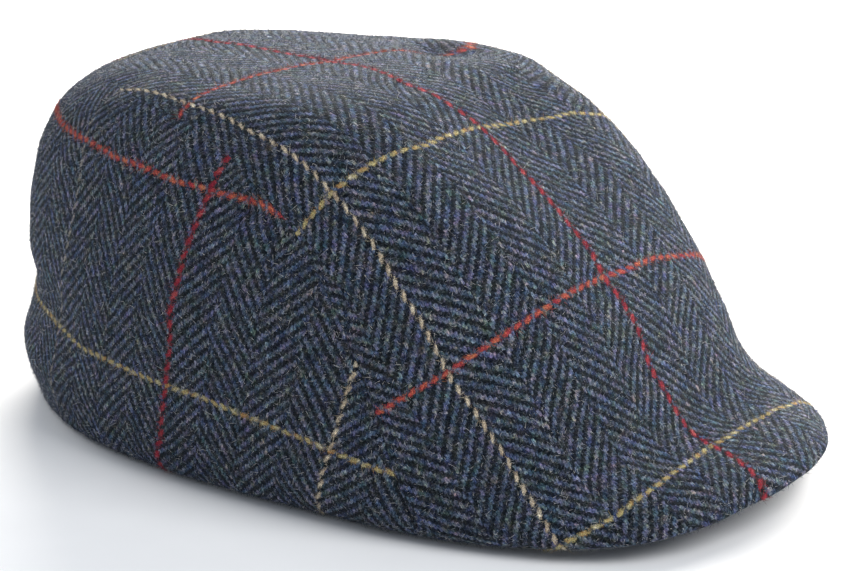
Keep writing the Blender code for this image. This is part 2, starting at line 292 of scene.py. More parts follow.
# The yarns of a check line come over as slanting dashes. In yarns: how many to a
# pane, the count at the middle of a line, the middle of a dash along its run,
# half its width on even and odd lines and half its length, with both colours.
WEFT_DASH = {"yarns": PICKS, "middle": PICK_EDGE, "phase": 3.0, "widths": (0.66, 0.68), "reach": 1.50,
             "colours": (MUSTARD, SCARLET)}
WARP_DASH = {"yarns": ENDS, "middle": -COLUMN_EDGE, "phase": -1.0, "widths": (0.60, 0.92), "reach": 1.40,
             "colours": (CREAM, CRIMSON)}
WEFT_LEAN = 0.20         # slant of the weft dashes, either way by turns of column
WARP_LEAN = -0.36
DASH_CORNERS = (2.0, 2.6)
DASH_EDGE = (0.55, 1.55) # where it thins out, from full to nothing
DASH_SWELL = (1.35, 0.95)

# Patterns of the cloth: scale of their noise, sometimes its detail, and strength
YARN_BENDS = ((7.0, 1.0, 0.012), (55.0, 2.0, 0.011))
WOOL_PATCHES = ((22.0, 1.15), (8.0, 0.70))
PATCH_TINT = (1.0, 0.35, 1.2)
STRAYS = ((38.0, 0.045), (64.0, 0.06))
STRAY_SHARE = 0.30
FRAY_SCALE = 170.0       # loose ends that blur the yarns and the dashes
FRAY_OF_YARNS = 1.6
FRAY_OF_DASHES = 5.0
YARN_EDGE = 0.35         # softness where one yarn goes under another
NAP_SCALE = 150.0
RELIEF_DEPTH = 0.00042
NAP_RELIEF = 0.9         # how much nap and strays stand out, beside the yarns
STRAY_RELIEF = 0.25


def unit(vectors):
    """The vectors at length 1."""
    return vectors / np.linalg.norm(vectors, axis=-1, keepdims=True)


def spline(places, rows):
    """A smooth curve through the rows of a table."""
    places = np.asarray(places, float)
    rows = np.asarray(rows, float)
    n = len(places)
    h = np.diff(places)
    left = np.eye(n)
    right = np.zeros_like(rows)
    for i in range(1, n - 1):
        left[i, i - 1:i + 2] = h[i - 1], 2 * (h[i - 1] + h[i]), h[i]
        right[i] = 6 * ((rows[i + 1] - rows[i]) / h[i] - (rows[i] - rows[i - 1]) / h[i - 1])
    bend = np.linalg.solve(left, right)

    def at(t):
        t = np.asarray(t, float)
        i = np.clip(np.searchsorted(places, t, "right") - 1, 0, n - 2)
        a = ((places[i + 1] - t) / h[i])[..., None]
        b = 1 - a
        curve = ((a ** 3 - a) * bend[i] + (b ** 3 - b) * bend[i + 1]) * (h[i] ** 2)[..., None] / 6
        return a * rows[i] + b * rows[i + 1] + curve

    return at


def ring_profile():
    """The rings in metres, carried on past the top so that the crown is smooth."""
    rows = []
    for t, front, back, side, z_front, z_side, z_back in RINGS:
        lift = PEAK_LIFT * (1 - t) ** 2
        rows.append((t, front * FRONT_REACH, back * BACK_REACH, side * HALF_WIDTH,
                     z_front * CROWN_HEIGHT + lift, z_side * CROWN_HEIGHT,
                     z_back * CROWN_HEIGHT, WIDEST_Y + (APEX_Y - WIDEST_Y) * t))
    top = (1.0, -APEX_Y, APEX_Y, 0, CROWN_HEIGHT, CROWN_HEIGHT, CROWN_HEIGHT, APEX_Y)
    beyond = [(2 - r[0], -2 * APEX_Y - r[1], 2 * APEX_Y - r[2], -r[3]) + r[4:] for r in reversed(rows)]
    table = np.array(rows + [top] + beyond)
    return spline(table[:, 0], table[:, 1:])


PROFILE = ring_profile()
MIRROR = np.array([-1, 1])


def smooth_form(angle, t):
    """A point of the outer form, before its dents. Angles in radians."""
    front, back, side, z_front, z_side, z_back, middle = np.moveaxis(PROFILE(t), -1, 0)
    c, s = np.cos(angle), np.sin(angle)
    power = np.where(c > 0, ROUND_FRONT, ROUND_BACK)
    k = (abs(c) ** power + abs(s) ** power) ** (-1 / power)
    x = side * s * k
    y = middle - np.where(c > 0, front + middle, back - middle) * c * k
    z = (z_side + (z_front - z_side) * np.clip(c, 0, 1) ** RISE_FRONT
         + (z_back - z_side) * np.clip(-c, 0, 1) ** RISE_BACK)
    return np.stack([x, y, z], -1)


def form(angle, t):
    """A point of the outer form. It is pushed in or out where it is dented."""
    angle = np.asarray(angle, float)
    t = np.asarray(t, float)
    point = smooth_form(angle, t)
    push = np.zeros_like(t)
    for at, ring, wide, tall, depth in DENTS + FOLDS:
        off = (np.degrees(angle) - at + 180) % 360 - 180
        push = push + depth * np.exp(-(off / wide) ** 2 - ((t - ring) / tall) ** 2)
    out = point - np.array([0, WIDEST_Y, DENT_CENTRE * CROWN_HEIGHT])
    out[..., 2] = np.maximum(out[..., 2], 0)
    return point + unit(out) * (push * CROWN_HEIGHT)[..., None]


def to_disc(angle, t):
    """The form laid out as a disc: the rim is the circle and the top its middle."""
    return np.stack([(1 - t) * np.sin(angle), -(1 - t) * np.cos(angle)], -1)


def from_disc(p):
    """The points of the form at these places of the disc."""
    r = np.hypot(p[..., 0], p[..., 1])
    return form(np.arctan2(p[..., 0], -p[..., 1]), 1 - r)


def out_of_form(p):
    """The outward normal of the form at disc points."""
    x_step, y_step = np.array([SMALL, 0]), np.array([0, SMALL])
    return unit(np.cross(from_disc(p + x_step) - from_disc(p - x_step),
                         from_disc(p + y_step) - from_disc(p - y_step)))


def seam_stations():
    """Even stations along the seam as disc points, for positive angles."""
    table = np.array(SEAM)
    path = to_disc(np.radians(table[:, 0]), table[:, 1])
    path = np.r_[path, path[-2::-1] * MIRROR]
    places = np.r_[0, np.cumsum(np.linalg.norm(np.diff(path, axis=0), axis=1))]
    curve = spline(places, path)
    fine = np.linspace(0, places[-1] / 2, SEAM_SAMPLES)
    at = from_disc(curve(fine))
    length = np.r_[0, np.cumsum(np.linalg.norm(np.diff(at, axis=0), axis=1))]
    even = np.interp(np.linspace(0, length[-1], SEAM_STEPS + 1), length, fine)
    return curve(even)


def moved_in(path, side):
    """The path moved sideways on the form by half a seam gap, as disc points."""
    along = unit(np.gradient(path, axis=0))
    across = np.c_[-along[:, 1], along[:, 0]] * side
    here, there = from_disc(path), from_disc(path + across * SMALL)
    size = np.linalg.norm(there - here, axis=1)[:, None] / SMALL
    return path + across * (SEAM_GAP / 2) / size


def patch(bottom, top, left, right):
    """Points inside four edges, blended from them. The edges run left to right
    and bottom to top, and share their corners."""
    u = np.linspace(0, 1, len(bottom))[None, :, None]
    v = np.linspace(0, 1, len(left))[:, None, None]
    corners = ((1 - u) * (1 - v) * bottom[0] + u * (1 - v) * bottom[-1]
               + (1 - u) * v * top[0] + u * v * top[-1])
    return ((1 - v) * bottom[None] + v * top[None]
            + (1 - u) * left[:, None] + u * right[:, None] - corners)


def top_layout(seam):
    """The rim in front, and the whole top panel from there to its back edge."""
    edge = moved_in(seam, 1)
    corner = math.atan2(edge[0, 0], -edge[0, 1])
    angle = np.linspace(-corner, corner, 2 * (SEAM_STEPS - BACK_STEP) + 1)
    rim = to_disc(angle, np.zeros_like(angle))
    edge[0] = rim[-1]
    edge[-1, 0] = 0
    back = np.r_[edge[BACK_STEP:] * MIRROR, edge[BACK_STEP:-1][::-1]]
    right_side = edge[:BACK_STEP + 1]
    return rim, patch(rim, back, right_side * MIRROR, right_side)


def side_layout(seam):
    """A side panel, from its foot at the front round to the centre back."""
    edge = moved_in(seam, -1)
    start = math.atan2(edge[0, 0], -edge[0, 1])
    angle = np.linspace(start, math.pi, SEAM_STEPS - CORNER_STEP + 1)
    foot = to_disc(angle, np.zeros_like(angle))
    edge[0] = foot[0]
    edge[-1, 0] = 0
    rise = np.linspace(0, 1, CORNER_STEP + 1)[:, None]
    back_edge = foot[-1] * (1 - rise) + edge[-1] * rise
    return patch(foot, edge[CORNER_STEP:], edge[:CORNER_STEP + 1], back_edge)


def resample(grid, rows, columns):
    """A grid of values at other places, given in steps of the grid."""
    r, c, n = grid.shape
    half = spline(np.arange(r), grid.reshape(r, c * n))(rows).reshape(len(rows), c, n)
    half = np.swapaxes(half, 0, 1).reshape(c, len(rows) * n)
    full = spline(np.arange(c), half)(columns).reshape(len(columns), len(rows), n)
    return np.swapaxes(full, 0, 1)


def grid_triangles(rows, columns):
    """Both ways to halve each square, so that neither leads."""
    i = np.arange(rows * columns).reshape(rows, columns)
    a, b, c, d = (part.ravel() for part in (i[:-1, :-1], i[:-1, 1:], i[1:, 1:], i[1:, :-1]))
    return np.r_[np.c_[a, b, c], np.c_[a, c, d], np.c_[a, b, d], np.c_[b, c, d]]


def triangle_slopes(points, corner):
    """The area of each triangle, and the slope that each corner gives a value on it."""
    one = points[corner[:, 1]] - points[corner[:, 0]]
    two = points[corner[:, 2]] - points[corner[:, 0]]
    length = np.linalg.norm(one, axis=1)
    flat = np.zeros((len(corner), 3, 2))
    flat[:, 1, 0] = length
    flat[:, 2, 0] = np.sum(two * one, 1) / length
    flat[:, 2, 1] = np.linalg.norm(np.cross(one, two), axis=1) / length
    area = length * flat[:, 2, 1] / 2
    slope = np.zeros((len(corner), 3, 2))
    for k in range(3):
        side = flat[:, (k + 2) % 3] - flat[:, (k + 1) % 3]
        slope[:, k] = np.c_[-side[:, 1], side[:, 0]] / (2 * area)[:, None]
    return area, slope


def pins(disc, lines):
    """For each pinned place: yarn kind, four grid points, their shares, value."""
    rows, columns = disc.shape[:2]
    fine_rows = np.linspace(0, rows - 1, PIN_SAMPLES)
    fine_columns = np.linspace(0, columns - 1, PIN_SAMPLES)
    fine = resample(disc, fine_rows, fine_columns)
    found = []
    for kind, number, places in lines:
        for angle, ring in places:
            target = to_disc(np.radians(angle), ring)
            near = np.linalg.norm(fine - target, axis=2)
            at = np.unravel_index(near.argmin(), near.shape)
            y, x = fine_rows[at[0]], fine_columns[at[1]]
            j, i = min(int(y), rows - 2), min(int(x), columns - 2)
            v, u = y - j, x - i
            corner = j * columns + i
            index = np.array([corner, corner + 1, corner + columns, corner + columns + 1])
            share = np.array([(1 - v) * (1 - u), (1 - v) * u, v * (1 - u), v * u])
            found.append((kind, index, share, number * PANE))
    return found


def lay_flat(disc, lines, start):
    """Cloth coordinates in millimetres for a grid on the form. Each small piece
    of cloth keeps its size and turns as it needs, and the check lines pull
    their places to whole panes."""
    points = from_disc(disc).reshape(-1, 3) * MM
    corner = grid_triangles(*disc.shape[:2])
    area, slope = triangle_slopes(points, corner)
    count = len(points)
    stiff = np.zeros((count, count))
    for a in range(3):
        for b in range(3):
            np.add.at(stiff, (corner[:, a], corner[:, b]), area * np.sum(slope[:, a] * slope[:, b], 1))
    hold = HOLD * np.trace(stiff) / count
    solve, pull = [], []
    for kind in (WARP, WEFT):
        matrix = stiff + np.eye(count) * hold
        side = np.zeros(count)
        for pinned, index, share, value in pins(disc, lines):
            if pinned == kind:
                matrix[np.ix_(index, index)] += PIN_STRENGTH * np.outer(share, share)
                side[index] += PIN_STRENGTH * share * value
        solve.append(np.linalg.inv(matrix))
        pull.append(side)
    cloth = start.reshape(-1, 2).copy()
    for _ in range(LAY_ROUNDS):
        change = np.einsum("tka,tkb->tab", cloth[corner], slope)
        a = change[:, 0, 0] + change[:, 1, 1]
        b = change[:, 1, 0] - change[:, 0, 1]
        size = np.hypot(a, b)
        turn = np.stack([np.stack([a, -b], -1), np.stack([b, a], -1)], 1) / size[:, None, None]
        laid = []
        for k in (WARP, WEFT):
            side = pull[k] + hold * cloth[:, k]
            for q in range(3):
                np.add.at(side, corner[:, q], area * np.sum(turn[:, k] * slope[:, q], 1))
            laid.append(solve[k] @ side)
        cloth = np.stack(laid, 1)
    return cloth.reshape(disc.shape)


def top_plan(disc):
    """Where the laying of the top starts: its plan, turned a little."""
    plan = from_disc(disc)[..., :2] * MM
    c, s = math.cos(math.radians(TOP_TURN)), math.sin(math.radians(TOP_TURN))
    return np.stack([plan[..., 0] * c - plan[..., 1] * s + TOP_START[0],
                     plan[..., 0] * s + plan[..., 1] * c + TOP_START[1]], -1)


def side_view(disc):
    """Where the laying of a side starts: seen square on, from back to front."""
    seen = from_disc(disc) * MM
    return np.stack([SIDE_START[0] - seen[..., 1], seen[..., 2] + SIDE_START[1]], -1)


def stations(count, step):
    """Places along a grid of count lines, closer together near its rolled edges."""
    last = count - 1
    even = np.linspace(0, last, int(round(last / step)) + 1)
    close = np.array(EDGE_LINES)
    return np.r_[close, even[(even > EVEN_FROM) & (even < last - EVEN_FROM)], last - close[::-1]]


def distance_to(points, edge):
    """How far each point of a grid is from an edge line."""
    flat = points.reshape(-1, 3)
    least = np.full(len(flat), np.inf)
    for a, b in zip(edge[:-1], edge[1:]):
        way = b - a
        share = np.clip((flat - a) @ way / (way @ way), 0, 1)
        away = flat - a - share[:, None] * way
        least = np.minimum(least, np.einsum("ij,ij->i", away, away))
    return np.sqrt(least).reshape(points.shape[:2])


def rolled(distance, radius):
    """How far the surface falls at this distance from a rounded edge."""
    inside = np.clip(radius - distance, 0, radius)
    return radius - np.sqrt(radius ** 2 - inside ** 2)


def wander(points, wave_lengths, seed):
    """A smooth random field over space, between about -1 and 1."""
    rng = np.random.default_rng(seed)
    total = np.zeros(points.shape[:-1])
    for length in wave_lengths:
        way = rng.normal(size=3)
        way *= 2 * math.pi / (length * np.linalg.norm(way))
        total += np.sin(points @ way + rng.uniform(0, 2 * math.pi))
    return total / math.sqrt(len(wave_lengths))


def add_object(name, data):
    """An object in the scene with this mesh, light or camera."""
    thing = bpy.data.objects.new(name, data)
    bpy.context.scene.collection.objects.link(thing)
    return thing


def add_map(mesh, name, places):
    """A map of the mesh: a place for each corner of each face."""
    layer = mesh.uv_layers.new(name=name)
    layer.uv.foreach_set("vector", places.astype(np.float32).ravel())


def shell(name, outer, inner, cloth, materials):
    """A closed piece from an outer and an inner grid that share their border."""
    rows, columns = outer.shape[:2]
    count = rows * columns
    index = np.arange(count).reshape(rows, columns)
    quads = np.stack([index[:-1, :-1], index[:-1, 1:], index[1:, 1:], index[1:, :-1]], -1).reshape(-1, 4)
    border = np.r_[index[0, :-1], index[:-1, -1], index[-1, :0:-1], index[:0:-1, 0]]
    following = np.roll(border, -1)
    strip = np.c_[following, border, border + count, following + count]
    faces = np.r_[quads, quads[:, ::-1] + count, strip]
    kinds = np.r_[np.zeros(len(quads)), np.ones(len(quads)), np.zeros(len(strip))].astype(np.int32)
    mesh = bpy.data.meshes.new(name)
    mesh.from_pydata(np.r_[outer.reshape(-1, 3), inner.reshape(-1, 3)], [], faces.tolist())
    for material in materials:
        mesh.materials.append(material)
    mesh.polygons.foreach_set("material_index", kinds)
    mesh.shade_smooth()
    flat_cloth = np.r_[cloth.reshape(-1, 2), cloth.reshape(-1, 2)]
    low, high = flat_cloth.min(0), flat_cloth.max(0)
    corners = faces.reshape(-1)
    share = ((flat_cloth - low) / (high - low))[corners]
    is_inner = np.repeat(kinds == 1, 4)[:, None]
    outside, inside = (share * size + corner for size, corner in (BAKE_OUTER, BAKE_INNER))
    add_map(mesh, "weave", flat_cloth[corners] / PANE)
    add_map(mesh, "OFBake", np.where(is_inner, inside, outside))
    mesh.validate()
    return add_object(name, mesh)


class Nodes:
    """Short ways to make the nodes of one material."""

    def __init__(self, name):
        self.material = bpy.data.materials.new(name)
        self.material.use_nodes = True
        self.tree = self.material.node_tree
        self.shader = self.tree.nodes["Principled BSDF"]

    def put(self, socket, value):
        if isinstance(value, bpy.types.NodeSocket):
            self.tree.links.new(value, socket)
        else:
            socket.default_value = value

    def set(self, values):
        """Sets or links inputs of the shader."""
        for key, value in values.items():
            self.put(self.shader.inputs[key], value)

    def add(self, kind, values=(), **settings):
        node = self.tree.nodes.new(kind)
        for key, value in settings.items():
            setattr(node, key, value)
        for key, value in dict(values).items():
            self.put(node.inputs[key], value)
        return node

    def math(self, operation, *values):
        return self.add("ShaderNodeMath", enumerate(values), operation=operation).outputs[0]

    def plus(self, a, b):
        return self.math("ADD", a, b)

    def minus(self, a, b):
        return self.math("SUBTRACT", a, b)

    def times(self, a, b):
        return self.math("MULTIPLY", a, b)

    def modulo(self, a, b):
        return self.math("FLOORED_MODULO", a, b)

    def floor(self, a):
        return self.math("FLOOR", a)

    def power(self, a, b):
        """The size of a to the power b."""
        return self.math("POWER", self.math("ABSOLUTE", a), b)

    def vector(self, operation, *values):
        return self.add("ShaderNodeVectorMath", enumerate(values), operation=operation).outputs[0]

    def join(self, x, y, z=0.0):
        return self.add("ShaderNodeCombineXYZ", {"X": x, "Y": y, "Z": z}).outputs[0]

    def parts(self, vector):
        return self.add("ShaderNodeSeparateXYZ", {0: vector}).outputs

    def map(self, name):
        return self.add("ShaderNodeUVMap", uv_map=name).outputs[0]

    def place(self):
        return self.add("ShaderNodeTexCoord").outputs["Object"]

    def between(self, share, a, b):
        """Number a where share is 0 and b where it is 1."""
        return self.add("ShaderNodeMix", {0: share, 2: a, 3: b}).outputs[0]

    def blend(self, share, a, b, mode="MIX"):
        """Colour a where share is 0 and b where it is 1."""
        return self.add("ShaderNodeMix", {0: share, 6: a, 7: b}, data_type="RGBA", blend_type=mode).outputs[2]

    def shade(self, colour, amount):
        """The colour, darker or lighter."""
        return self.blend(1.0, colour, self.join(amount, amount, amount), "MULTIPLY")

    def noise(self, vector, scale, detail=2.0, roughness=0.5, dimensions="3D"):
        values = {"Vector": vector, "Scale": scale, "Detail": detail, "Roughness": roughness}
        return self.add("ShaderNodeTexNoise", values, noise_dimensions=dimensions).outputs

    def flat_noise(self, vector, scale, detail, roughness=0.5):
        return self.noise(vector, scale, detail, roughness, "2D")

    def centred(self, colour, amount):
        """A noise's colour as a vector round zero."""
        return self.vector("MULTIPLY", self.vector("SUBTRACT", colour, (0.5, 0.5, 0.5)), amount)

    def ramp(self, share, stops):
        node = self.add("ShaderNodeValToRGB", {"Fac": share})
        while len(node.color_ramp.elements) < len(stops):
            node.color_ramp.elements.new(1.0)
        for element, (place, colour) in zip(node.color_ramp.elements, stops):
            element.position = place
            element.color = (*colour, 1)
        return node.outputs[0]

    def spread(self, value, low, high):
        """Stretches low to high over 0 to 1, softly."""
        values = {0: value, 1: low, 2: high}
        return self.add("ShaderNodeMapRange", values, interpolation_type="SMOOTHSTEP").outputs[0]

    def bump(self, height, strength, distance):
        values = {"Strength": strength, "Distance": distance, "Height": height}
        self.set({"Normal": self.add("ShaderNodeBump", values).outputs[0]})


def yarn_height(n, run_place, rise, side):
    """Height of a yarn, from its place in a run of the weave and its round section."""
    swing = n.math("COSINE", n.times(n.minus(run_place, 1.0), math.pi / 2))
    square = n.times(n.times(side, side), 4.0)
    section = n.math("SQRT", n.math("MAXIMUM", n.minus(1.0, square), 0.0))
    return n.plus(n.times(swing, rise), n.times(section, 0.5))


def heather(n, along, number, side, stops, lot):
    """Colour of a yarn spun from fibres of many colours."""
    shade = n.noise(n.join(n.times(number, 3.7), n.times(along, 0.30), lot), 1.0, 1.0)["Fac"]
    fleck = n.noise(n.join(n.times(side, 2.2), n.times(along, 1.3), lot + 5.0), 1.0, 2.0, 0.75)["Fac"]
    return n.ramp(n.plus(n.times(shade, 0.40), n.times(fleck, 0.60)), stops)


def dashes(n, line, number, along, lean, fray, worn, colour, height):
    """Colour and height of the cloth with one kind of check line, whose yarns
    come over it as slanting dashes."""
    count = line["yarns"]
    shifted = n.plus(n.minus(number, line["middle"]), count / 2)
    off = n.minus(n.modulo(shifted, count), count / 2)
    pane = n.floor(n.math("DIVIDE", shifted, count))
    odd = n.modulo(pane, 2.0)
    run = n.minus(n.modulo(n.plus(along, TWILL / 2 - line["phase"]), TWILL), TWILL / 2)
    off = n.plus(off, n.times(run, lean))
    rim = n.plus(n.power(n.math("DIVIDE", off, n.between(odd, *line["widths"])), DASH_CORNERS[0]),
                 n.power(n.math("DIVIDE", run, line["reach"]), DASH_CORNERS[1]))
    ragged = n.plus(rim, n.times(n.minus(fray, 0.5), FRAY_OF_DASHES))
    kept = n.between(odd, n.minus(1.0, worn), 1.0)
    on = n.times(n.minus(1.0, n.spread(ragged, *DASH_EDGE)), kept)
    # strands run along a dash, and the lot of wool changes along a line
    strand_place = n.join(n.times(off, 3.2), n.plus(n.times(along, 1.5), n.times(off, 1.2)), pane)
    strand = n.noise(strand_place, 1.0, 2.0, 0.7)
    lot = n.noise(n.join(n.times(along, 0.22), pane, 7.0), 1.0, 1.0)["Fac"]
    hue = n.between(0.5, lot, strand["Color"])
    even_stops, odd_stops = line["colours"]
    line_colour = n.blend(odd, n.ramp(hue, even_stops), n.ramp(hue, odd_stops))
    # painted highlight and painted shade: the line's colour is lighter in the middle of each dash and darker
    # towards its edges, as a rounded float would be lit; its strands vary the tone too
    painted_dash_shade_and_strands = n.times(n.between(n.spread(rim, 0.0, 1.3), 1.2, 0.7),
                   n.between(n.spread(strand["Fac"], 0.36, 0.64), 0.45, 1.5))
    swell = n.times(n.minus(DASH_SWELL[0], rim), DASH_SWELL[1])
    return n.blend(on, colour, n.shade(line_colour, painted_dash_shade_and_strands)), n.math("MAXIMUM", height, swell)


def stray_fibres(n, place):
    """Thin winding lines, 1 on a stray fibre and 0 beside it."""
    strays = 0.0
    for scale, amount in STRAYS:
        winding = n.flat_noise(place, scale, 1.5, 0.6)["Fac"]
        ridge = n.math("ABSOLUTE", n.minus(winding, 0.5))
        strays = n.math("MAXIMUM", strays, n.minus(1.0, n.spread(ridge, 0.0, amount)))
    return strays


def tweed(name, worn=0.0):
    """Herringbone wool with a windowpane check, woven yarn by yarn. The map called
    weave counts in panes, across the warp yarns and along them. The cream lines
    have lost the share worn at the back."""
    n = Nodes(name)
    worn_here = n.times(n.spread(n.parts(n.place())[1], WORN_FROM, WORN_FROM + WORN_FADE), worn)
    straight = n.map("weave")
    # yarns don't lie quite straight
    place = straight
    for scale, detail, amount in YARN_BENDS:
        bend = n.flat_noise(straight, scale, detail)["Color"]
        place = n.vector("ADD", place, n.centred(bend, (amount, amount, 0.0)))
    across, along = n.parts(place)[:2]
    end = n.minus(n.times(across, ENDS), COLUMN_EDGE)
    pick = n.plus(n.times(along, PICKS), PICK_EDGE)
    end_number, pick_number = n.floor(end), n.floor(pick)
    end_side = n.minus(n.minus(end, end_number), 0.5)
    pick_side = n.minus(n.minus(pick, pick_number), 0.5)
    # columns of the herringbone fall and rise by turns, cut by two picks
    column = n.floor(n.math("DIVIDE", end, COLUMN))
    rising = n.modulo(column, 2.0)
    in_column = n.minus(end, n.times(column, COLUMN))
    in_column_number = n.floor(in_column)
    step = n.between(rising, in_column_number, n.minus(1.0, in_column_number))
    glide = n.between(rising, in_column, n.minus(2.0, in_column))
    warp_height = yarn_height(n, n.modulo(n.plus(pick, step), TWILL), 0.5, end_side)
    weft_height = yarn_height(n, n.modulo(n.plus(pick_number, glide), TWILL), -0.5, pick_side)
    height = n.math("MAXIMUM", warp_height, weft_height)
    # loose fibres blur the edge between the yarns
    fray = n.flat_noise(place, FRAY_SCALE, 2.0, 0.6)["Fac"]
    warp_lead = n.plus(n.minus(warp_height, weft_height), n.times(n.minus(fray, 0.5), FRAY_OF_YARNS))
    warp_over = n.spread(warp_lead, -YARN_EDGE, YARN_EDGE)
    colour = n.blend(warp_over, heather(n, end, pick_number, pick, WEFT_WOOL, 11.0),
                     heather(n, pick, end_number, end, WARP_WOOL, 0.0))
    # painted shade: deep between the yarns the colour is darkened, and on the tops of the yarns it is a
    # little lightened
    colour = n.shade(colour, n.between(n.spread(height, 0.0, 0.8), 0.5, 1.1))
    # the blend of the wool changes from place to place
    for scale, amount in WOOL_PATCHES:
        mix = n.flat_noise(straight, scale, 2.0, 0.6)["Color"]
        tint = n.centred(mix, [amount * part for part in PATCH_TINT])
        colour = n.blend(1.0, colour, n.vector("ADD", tint, (1.0, 1.0, 1.0)), "MULTIPLY")
    weft_lean = n.between(rising, WEFT_LEAN, -WEFT_LEAN)
    colour, height = dashes(n, WEFT_DASH, pick, end, weft_lean, fray, 0.0, colour, height)
    colour, height = dashes(n, WARP_DASH, end, pick, WARP_LEAN, fray, worn_here, colour, height)
    # the nap lies over everything, with stray fibres on it
    nap = n.flat_noise(place, NAP_SCALE, 3.0, 0.75)["Fac"]
    strays = n.times(stray_fibres(n, place), n.spread(nap, 0.40, 0.66))
    colour = n.blend(n.times(strays, STRAY_SHARE), colour, STRAY_WOOL)
    relief = n.plus(n.plus(height, n.times(nap, NAP_RELIEF)), n.times(strays, STRAY_RELIEF))
    n.bump(relief, 0.8, RELIEF_DEPTH)
    n.set({"Base Color": colour, "Roughness": n.between(nap, 0.85, 1.0), "Specular IOR Level": 0.05,
           "Sheen Weight": 0.05, "Sheen Roughness": 0.5, "Sheen Tint": (0.9, 0.95, 1.0, 1.0)})
    return n.material


def lining(name):
    """A plain dark lining twill for the inside."""
    n = Nodes(name)
    place = n.map("weave")
    rib = n.add("ShaderNodeTexWave", {"Vector": place, "Scale": 22.0, "Distortion": 0.4, "Detail": 1.0},
                wave_type="BANDS", bands_direction="DIAGONAL").outputs["Fac"]
    tone = n.noise(place, 9.0, 3.0)["Fac"]
    n.bump(rib, 0.4, 0.0001)
    n.set({"Base Color": n.ramp(n.plus(n.times(rib, 0.4), n.times(tone, 0.6)), LINING_TWILL),
           "Roughness": n.between(tone, 0.5, 0.7), "Specular IOR Level": 0.35})
    return n.material


def fibre_material(name):
    """Loose wool fibres, in the colours of the cloth or of a check line. The map
    called lot holds their chance and their kind."""
    n = Nodes(name)
    chance, kind_share = n.parts(n.map("lot"))[:2]
    colour = n.ramp(chance, FIBRE_WOOL)
    hue = n.plus(n.times(chance, FIBRE_SHADES[0]), FIBRE_SHADES[1])
    for kind, stops in enumerate((CREAM, CRIMSON, MUSTARD, SCARLET)):
        from_here = n.math("GREATER_THAN", n.times(kind_share, KINDS), kind + 1.0)
        colour = n.blend(from_here, colour, n.ramp(hue, stops))
    n.set({"Base Color": colour, "Roughness": 0.8, "Specular IOR Level": 0.25})
    return n.material


def floor_paper(name):
    """Pale matt paper."""
    n = Nodes(name)
    grain = n.noise(n.place(), 30.0)["Fac"]
    n.set({"Base Color": n.ramp(grain, FLOOR_PAPER), "Roughness": 0.9, "Specular IOR Level": 0.1})
    return n.material


def panel(name, disc, cloth, steps, materials):
    """One panel as a closed shell. Its first row is the rim, its other edges seams."""
    rows, columns = (stations(count, step) for count, step in zip(disc.shape, steps))
    fine = resample(np.concatenate([disc, cloth], -1), rows, columns)
    lay, laid = fine[..., :2], fine[..., 2:]
    surface = from_disc(lay)
    normal = out_of_form(lay)
    pressed = np.interp(surface[..., 2], SEAM_DROP_HEIGHT, SEAM_DROP)
    from_rim = distance_to(surface, surface[0])
    lift = rolled(from_rim, RIM_ROLL)
    drop = lift
    for edge in (surface[-1], surface[:, 0], surface[:, -1]):
        drop = np.maximum(drop, rolled(distance_to(surface, edge), SEAM_ROLL) * pressed)
    loose = wander(surface, SLACK_WAVES, SLACK_SEED) * np.clip(from_rim / SLACK_FADE, 0, 1)
    outer = surface + normal * (loose * SLACK - drop)[..., None] + SHIFT
    inner = surface - normal * (WALL - lift)[..., None] + SHIFT
    for face in (outer, inner):
        face[..., 2] = np.maximum(face[..., 2], 0)
    return shell(name, outer, inner, laid, materials), outer, laid


def peak_board(name, rim, material):
    """The covered board of the peak, with its own cloth on the underside."""
    outer_disc = rim[1:-1]
    outer_edge = from_disc(outer_disc)
    along = unit(np.gradient(outer_edge[:, :2], axis=0))
    inwards = np.c_[-along[:, 1], along[:, 0]]
    leans = np.sum(-out_of_form(outer_disc)[:, :2] * inwards, axis=1) * WALL
    outer_edge[:, :2] += inwards * (np.maximum(leans, 0) + BOARD_GAP)[:, None]
    horn_x, horn_y = outer_edge[-1, :2] + (-HORN_TAPER, HORN_WIDTH)
    share = np.linspace(-1, 1, len(outer_edge))
    bow = (1 - abs(share) ** ROUND_OPENING) ** (1 / ROUND_OPENING)
    inner_edge = outer_edge.copy()
    inner_edge[:, 0] = share * horn_x
    inner_edge[:, 1] = horn_y + (PEAK_DEPTH - FRONT_REACH - horn_y) * bow
    inner_edge[:, 2] += PEAK_SLOPE * np.linalg.norm(inner_edge[:, :2] - outer_edge[:, :2], axis=1)
    v = np.linspace(0, 1, PEAK_ROWS)[:, None, None]
    board = outer_edge[None] * (1 - v) + inner_edge[None] * v
    rows, columns = (stations(count, step) for count, step in zip(board.shape, PEAK_MESH))
    board = resample(board, rows, columns)
    up = unit(np.cross(np.gradient(board, axis=1), np.gradient(board, axis=0)))
    up *= np.sign(up[..., 2:])
    edges = (board[0], board[-1], board[:, 0], board[:, -1])
    away = np.min([distance_to(board, edge) for edge in edges], axis=0)
    tuck = rolled(away, BOARD / 2 * BOARD_ROUND)[..., None]
    under, over = board + up * tuck + SHIFT, board + up * (BOARD - tuck) + SHIFT
    cloth = np.stack([-board[..., 0], board[..., 1]], -1) * MM + PEAK_START
    return shell(name, under, over, cloth, (material, material))


# Kinds of fibre: 0 plain, 1 cream, 2 red warp, 3 mustard, 4 red weft
PLAIN, CREAM_KIND, WEFT_KINDS, KINDS = 0, 1, 3, 5


def line_kind(laid):
    """The kind of fibre at places of the cloth in panes."""
    number = np.round(laid)
    kind = (CREAM_KIND, WEFT_KINDS) + (number % 2).astype(int)
    near = abs(laid - number) * (ENDS, PICKS) < np.array((0,) + LINE_REACH)[kind]
    return np.where(near[:, 0], kind[:, 0], np.where(near[:, 1], kind[:, 1], PLAIN))


